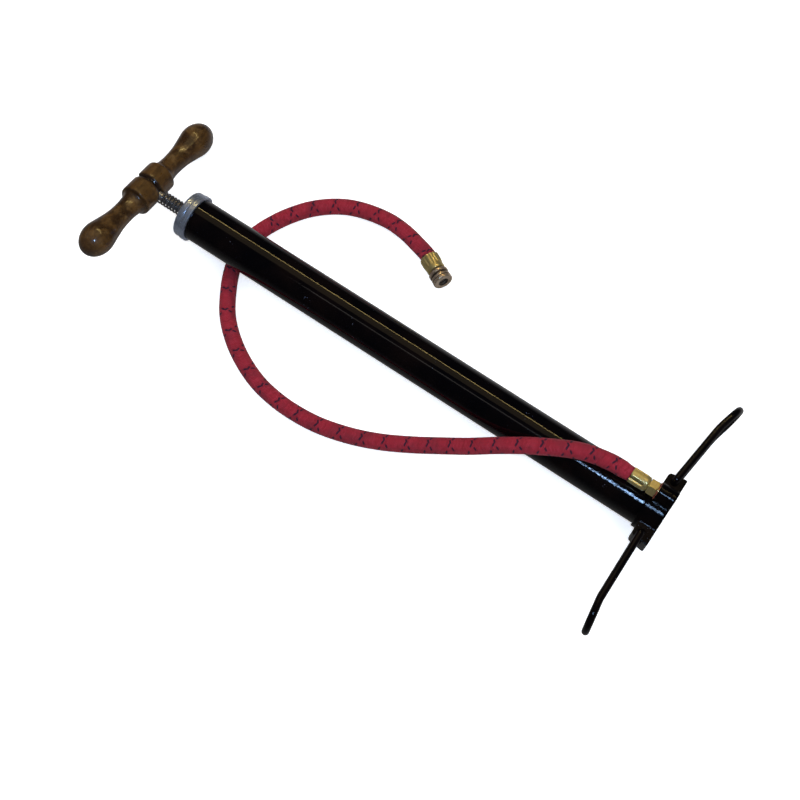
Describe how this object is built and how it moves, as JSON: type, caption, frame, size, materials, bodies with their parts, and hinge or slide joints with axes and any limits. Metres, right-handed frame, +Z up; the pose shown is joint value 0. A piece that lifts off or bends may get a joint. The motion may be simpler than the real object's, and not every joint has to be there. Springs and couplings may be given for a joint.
{
  "type": "floor bicycle pump",
  "caption": "Floor bicycle pump lying on its side: enamelled barrel, cast base with fold-out wire foot loops, turned wooden handle on a sliding rod, braided hose.",
  "frame": {"origin": "on the surface the pump lies on, under the middle of the whole object without its hose", "axes": "+X from the base towards the handle, along the surface; +Y towards the foot loop on the left as seen from the base; +Z up"},
  "size_m": [0.5526, 0.2339, 0.0719],
  "materials": {
    "black_enamel": "gloss stoved enamel on steel",
    "cast_base": "gloss black enamel on a casting",
    "plated_steel": "satin zinc or nickel plate",
    "rod_steel": "drawn bright steel",
    "spring_steel": "dark oiled spring wire",
    "brass": "turned brass, dulled by age",
    "varnished_wood": "turned hardwood under gloss varnish",
    "braided_hose": "rubber hose under a crimson cotton braid with dark tracer threads",
    "leather": "oiled leather",
    "fibre": "red vulcanised fibre",
    "black_rubber": "matte black rubber"
  },
  "bodies": {
    "root": {"barrel": "black_enamel", "base_casting": "cast_base", "barrel_gasket": "leather", "top_cap": "plated_steel", "rod_guide_bush": "brass", "upstroke_buffer": "leather", "valve_seat": "brass", "valve_spring": "spring_steel", "fibre_washer": "fibre", "outlet_union": "brass", "outlet_ferrule": "brass", "hose": "braided_hose", "end_ferrule": "brass", "end_tail": "brass"},
    "carriage": {"buffer_spring": "spring_steel"},
    "rod_and_handle": {"piston_rod": "rod_steel", "handle": "varnished_wood", "handle_washer": "plated_steel", "handle_nut": "plated_steel", "piston_locknut": "rod_steel", "backing_plate": "rod_steel", "cup_leather": "leather", "cup_spreader": "rod_steel", "piston_nut": "rod_steel"},
    "left_foot": {"foot_loop_left": "black_enamel"},
    "right_foot": {"foot_loop_right": "black_enamel"},
    "swivel": {"swivel_nut": "brass", "nozzle_seal": "black_rubber"},
    "check_ball": {"valve_ball": "rod_steel"}
  },
  "joints": [
    {"name": "rod_slide", "type": "slide", "parent": "root", "child": "carriage", "axis": [0.9996, 0, 0.029], "range_m": [0, 0.43]},
    {"name": "handle_turn", "type": "hinge", "parent": "carriage", "child": "rod_and_handle", "pos_m": [0.03237, 0, 0.02988], "axis": [0.9996, 0, 0.029], "continuous": true},
    {"name": "left_foot_fold", "type": "hinge", "parent": "root", "child": "left_foot", "pos_m": [-0.2578, 0.0252, 0.02147], "axis": [0.029, 0, -0.9996], "range_deg": [0, 90]},
    {"name": "right_foot_fold", "type": "hinge", "parent": "root", "child": "right_foot", "pos_m": [-0.259, -0.0252, 0.02144], "axis": [-0.029, 0, 0.9996], "range_deg": [0, 95]},
    {"name": "nut_swivel", "type": "hinge", "parent": "root", "child": "swivel", "pos_m": [0.00502, -0.07943, 0.0128], "axis": [-0.8582, 0.4895, 0.1547], "continuous": true},
    {"name": "valve_lift", "type": "slide", "parent": "root", "child": "check_ball", "axis": [0.9996, 0, 0.029], "range_m": [0, 0.0008], "stiffness_N_per_m": 4, "springref_m": -0.002, "deforming": ["valve_spring"]}
  ]
}
